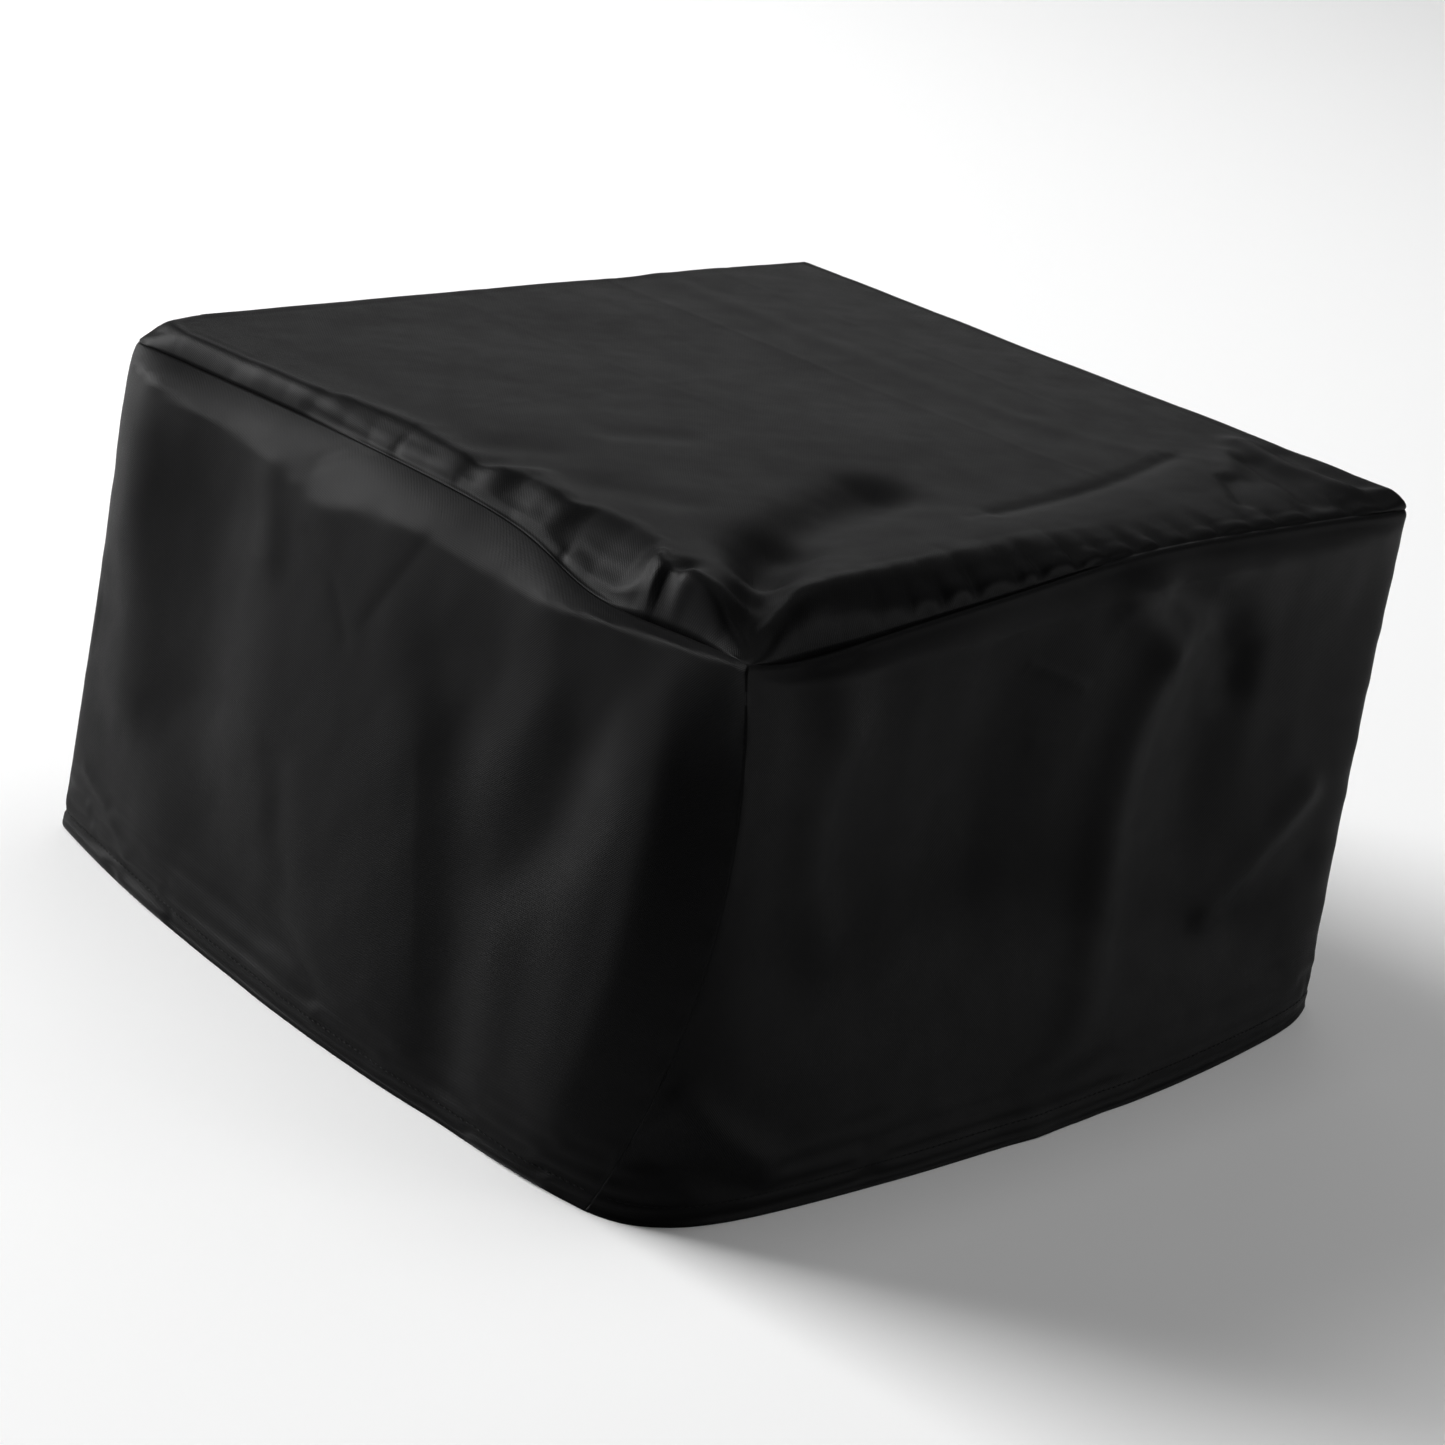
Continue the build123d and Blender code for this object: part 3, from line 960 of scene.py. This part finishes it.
def smooth_line(line, reach):
    """A line averaged along itself, with its ends kept."""
    padded = np.concatenate([np.repeat(line[:1], reach, 0), line, np.repeat(line[-1:], reach, 0)])
    kernel = np.ones(2 * reach + 1) / (2 * reach + 1)
    return np.stack([np.convolve(padded[:, k], kernel, "valid") for k in range(3)], axis=1)


def two_layers(name, layers):
    """One piece of two cloth layers, each a grid of the same size."""
    rows, columns = layers[0].shape[:2]
    points = np.concatenate([layer.reshape(-1, 3) for layer in layers])
    faces = np.concatenate([grid_faces(rows, columns), grid_faces(rows, columns) + rows * columns])
    weave = np.zeros((2, rows, columns, 3))
    weave[..., 0] = np.arange(columns) * TWO_LAYER_CELL + STRIP_APART * 3
    weave[..., 1] = (np.arange(rows) * TWO_LAYER_CELL)[:, None]
    return thicken(mesh_object(name, points, faces, weave.reshape(-1, 3)))


def corner_allowance(name, before, after):
    """A corner seam's allowance, pressed open against the two walls, and its stitch line."""
    rows = slice(8, before.shape[0] - 12)
    height = before[rows, -1, 2]
    waves = swell(height, height, CORNER_WAVE, len(name))
    offsets = CORNER_OFFSETS + np.abs(waves)[None] * CORNER_WAVES
    first, _ = follow(np.swapaxes(before[rows], 0, 1), CORNER_REACH, offsets, True, True)
    second, facings = follow(np.swapaxes(after[rows], 0, 1), CORNER_REACH, offsets, False, True)
    piece = strip_object(name, np.concatenate([first[::-1], second]), 2)
    return piece, (second[1] - facings[1] * (CLOTH_THICKNESS + THREAD_OUT), -facings[1])


# ------------ materials

# Black with a breath of blue. A bump is (strength, depth in metres).
CLOTH_DARK = (0.0013, 0.0013, 0.0015, 1)
CLOTH_PALE = (0.0020, 0.0020, 0.0022, 1)
CLOTH_ROUGHNESS = (0.42, 0.48)
CLOTH_SPECULAR = 0.045
CLOTH_SHEEN = 0.010
WEAVE_PITCH = 1.05
WEAVE_BUMP = (0.25, 0.0002)
SLUB_BUMP = (0.08, 0.0003)
CRUMPLE_BUMP = (0.04, 0.002)
THREAD_COLOUR = (0.003, 0.003, 0.0033, 1)
THREAD_ROUGHNESS = (0.38, 0.6)
THREAD_SPECULAR = 0.08
THREAD_BUMP = (0.6, 0.0001)
FLOOR_COLOUR = (0.93, 0.93, 0.93, 1)


def set_sockets(tree, node, inputs):
    """Sets a node's sockets. Each value is a constant or the output of another node."""
    for socket, value in inputs.items():
        if isinstance(value, bpy.types.NodeSocket):
            tree.links.new(value, node.inputs[socket])
        else:
            node.inputs[socket].default_value = value


def add_node(tree, kind, inputs, **settings):
    """A shader node of a kind, with its settings made and its sockets set."""
    node = tree.nodes.new(f"ShaderNode{kind}")
    for name, value in settings.items():
        setattr(node, name, value)
    set_sockets(tree, node, inputs)
    return node


def new_material(name, inputs):
    """A material, its node tree and its shader with the sockets set."""
    material = bpy.data.materials.new(name)
    material.use_nodes = True
    tree = material.node_tree
    shader = next(node for node in tree.nodes if node.type == "BSDF_PRINCIPLED")
    set_sockets(tree, shader, inputs)
    return material, tree, shader


def pattern_place(tree):
    """The place of each point in the cloth's own pattern."""
    return add_node(tree, "Attribute", {}, attribute_name="weave").outputs["Vector"]


def calculate(tree, operation, *values):
    """The result of a sum on values or other nodes' outputs."""
    return add_node(tree, "Math", dict(enumerate(values)), operation=operation).outputs[0]


def noise(tree, place, scale, detail, stretch=(1, 1, 1)):
    """Soft noise over the cloth's pattern."""
    stretched = add_node(tree, "Mapping", {"Vector": place, "Scale": stretch}).outputs["Vector"]
    inputs = {"Vector": stretched, "Scale": scale, "Detail": detail}
    return add_node(tree, "TexNoise", inputs).outputs["Fac"]


def spread(tree, value, start, end):
    """A value between two others, taken from the range `start` to the range `end`."""
    names = ("From Min", "From Max", "To Min", "To Max")
    inputs = {"Value": value, **dict(zip(names, (*start, *end)))}
    return add_node(tree, "MapRange", inputs).outputs["Result"]


def bump(tree, height, strength, depth, **under):
    """The surface's direction after a bump, over the one that is given as Normal."""
    inputs = {"Height": height, "Strength": strength, "Distance": depth, **under}
    return add_node(tree, "Bump", inputs).outputs["Normal"]


def cloth_material(name, gloss):
    """Black woven polyester: fine plain weave, soft satin sheen, faint crumpling."""
    satin = {"Specular IOR Level": CLOTH_SPECULAR * gloss, "Sheen Weight": CLOTH_SHEEN}
    material, tree, shader = new_material(name, {**satin, "Sheen Roughness": 0.5})
    place = pattern_place(tree)
    split = add_node(tree, "SeparateXYZ", {"Vector": place})
    turns = [calculate(tree, "MULTIPLY", split.outputs[axis], math.tau / WEAVE_PITCH) for axis in "XY"]
    weave = calculate(tree, "MULTIPLY", *[calculate(tree, "SINE", turn) for turn in turns])
    colours = {"A": CLOTH_DARK, "B": CLOTH_PALE, "Factor": noise(tree, place, 0.02, 4)}
    crumple = bump(tree, noise(tree, place, 0.045, 3), *CRUMPLE_BUMP)
    slub = bump(tree, noise(tree, place, 0.8, 2, (1, 0.15, 1)), *SLUB_BUMP, Normal=crumple)
    set_sockets(tree, shader, {
        "Base Color": add_node(tree, "Mix", colours, data_type="RGBA").outputs["Result"],
        "Roughness": spread(tree, noise(tree, place, 0.05, 3), (0.3, 0.7), CLOTH_ROUGHNESS),
        "Normal": bump(tree, weave, *WEAVE_BUMP, Normal=slub),
    })
    return material


def thread_material():
    """Black polyester sewing thread: twisted, a little glossier than the cloth."""
    inputs = {"Base Color": THREAD_COLOUR, "Specular IOR Level": THREAD_SPECULAR}
    material, tree, shader = new_material("black_thread", inputs)
    inputs = {"Vector": pattern_place(tree), "Scale": 1.1, "Distortion": 0.6}
    twist = add_node(tree, "TexWave", inputs, wave_type="BANDS", bands_direction="DIAGONAL")
    set_sockets(tree, shader, {
        "Roughness": spread(tree, twist.outputs["Fac"], (0, 1), THREAD_ROUGHNESS),
        "Normal": bump(tree, twist.outputs["Fac"], *THREAD_BUMP),
    })
    return material


def floor_material():
    """Plain pale studio floor."""
    inputs = {"Base Color": FLOOR_COLOUR, "Roughness": 0.9, "Specular IOR Level": 0.1}
    return new_material("pale_floor", inputs)[0]


# ------------ build


def finish_piece(piece, material, node):
    """Gives a piece its material and its place in the frame."""
    piece.data.materials.append(material)
    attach(piece, "root")
    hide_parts(node)
    return piece


def build():
    """Makes every piece of the cover."""
    panels, depth = make_cloth()
    cloth = cloth_material("black_polyester", 1.0)
    edge_cloth = cloth_material("black_polyester_inside", 0.8)
    thread = thread_material()
    pieces = make_panels(panels, depth)
    for node, piece in pieces.items():
        finish_piece(piece, cloth, node)

    with_wall = {}
    for side in SIDES:
        panel = panels[side]
        with_wall[side] = [
            finish_piece(hem_turn_up(side, panel), cloth, f"{side}_hem"),
            finish_piece(hem_stitching(side, panel), thread, f"{side}_hem_stitching"),
        ]
        layers, line, inward = hanging_allowance(side, panel)
        allowance = two_layers(f"{side}_top_allowance", layers)
        stitches = stitch_row(f"{side}_top_stitches", [(line, inward)])
        with_wall[side] += [
            finish_piece(allowance, edge_cloth, f"{side}_top_seam_allowance"),
            finish_piece(stitches, thread, f"{side}_top_seam_stitching"),
        ]
    for corner, (before, after) in CORNERS.items():
        allowance, line = corner_allowance(f"{corner}_allowance", panels[before], panels[after])
        stitches = stitch_row(f"{corner}_stitches", [line])
        with_wall["front" if "front" in corner else "back"] += [
            finish_piece(allowance, edge_cloth, f"{corner}_seam_allowance"),
            finish_piece(stitches, thread, f"{corner}_seam_stitching"),
        ]


# ------------ camera and stage

# Where the camera stands, in degrees and metres, and where in it the cover's middle lies, in metres
CAMERA_AZIMUTH = -138.68
CAMERA_ELEVATION = 20.71
CAMERA_ROLL = math.radians(10.31)
CAMERA_DISTANCE = 1.878
CAMERA_SHIFT = (-0.0149, -0.0952)
CAMERA_LENS = 95.42


def towards(azimuth, elevation):
    """The direction from the cover at an azimuth and an elevation in degrees."""
    azimuth, elevation = math.radians(azimuth), math.radians(elevation)
    level = math.cos(elevation)
    return np.array([math.cos(azimuth) * level, math.sin(azimuth) * level, math.sin(elevation)])


def make_camera():
    """The camera, from its direction, roll and distance. It looks at a point beside the origin."""
    back = towards(CAMERA_AZIMUTH, CAMERA_ELEVATION)
    level = towards(CAMERA_AZIMUTH + 90, 0)
    upright = np.cross(back, level)
    c, s = math.cos(CAMERA_ROLL), math.sin(CAMERA_ROLL)
    right = c * level + s * upright
    up = -s * level + c * upright
    place = back * CAMERA_DISTANCE - CAMERA_SHIFT[0] * right - CAMERA_SHIFT[1] * up
    data = bpy.data.cameras.new("camera")
    data.lens = CAMERA_LENS
    data.sensor_width = 36.0
    camera = scene_object("camera", data)
    camera.matrix_world = Matrix([*np.column_stack([right, up, back, place]).tolist(), [0, 0, 0, 1]])
    bpy.context.scene.camera = camera


# Soft square lights in a ring round the cover: azimuth, elevation, power in watts
LIGHT_DISTANCE = 5.5
LIGHT_SIZE = 2.9
LIGHT_TARGET = (0, 0, 0.13)
SURROUND_STRENGTH = 0.03
FLOOR_REACH = 9000
LIGHTS = {
    "key": (112, 15, 350),
    "key_high": (114, 36, 245),
    "right": (308, 11, 90),
    "right_high": (350, 48, 20),
    "back_right": (45, 20, 20),
    "overhead": (0, 80, 55),
}


def area_light(name, azimuth, elevation, power):
    """A soft square light that faces the middle of the cover."""
    direction = Vector(towards(azimuth, elevation))
    data = bpy.data.lights.new(name, "AREA")
    data.shape = "SQUARE"
    data.size = LIGHT_SIZE
    data.energy = power
    light = scene_object(name, data)
    light.location = Vector(LIGHT_TARGET) + direction * LIGHT_DISTANCE
    light.rotation_mode = "QUATERNION"
    light.rotation_quaternion = (-direction).to_track_quat("-Z", "Y")
    light.visible_camera = False


def make_stage():
    """Pale floor, soft lights and a pale surround."""
    corners = [(x * FLOOR_REACH, y * FLOOR_REACH, 0) for x, y in ((-1, -1), (1, -1), (1, 1), (-1, 1))]
    floor = mesh_object("floor", corners, [(0, 1, 2, 3)])
    floor.data.materials.append(floor_material())
    for name, (azimuth, elevation, power) in LIGHTS.items():
        area_light(name, azimuth, elevation, power)
    world = bpy.data.worlds.new("surround")
    world.use_nodes = True
    shade = {"Color": (1, 1, 1, 1), "Strength": SURROUND_STRENGTH}
    set_sockets(world.node_tree, world.node_tree.nodes["Background"], shade)
    bpy.context.scene.world = world
    bpy.context.scene.view_settings.view_transform = "Standard"


build()
make_stage()
make_camera()
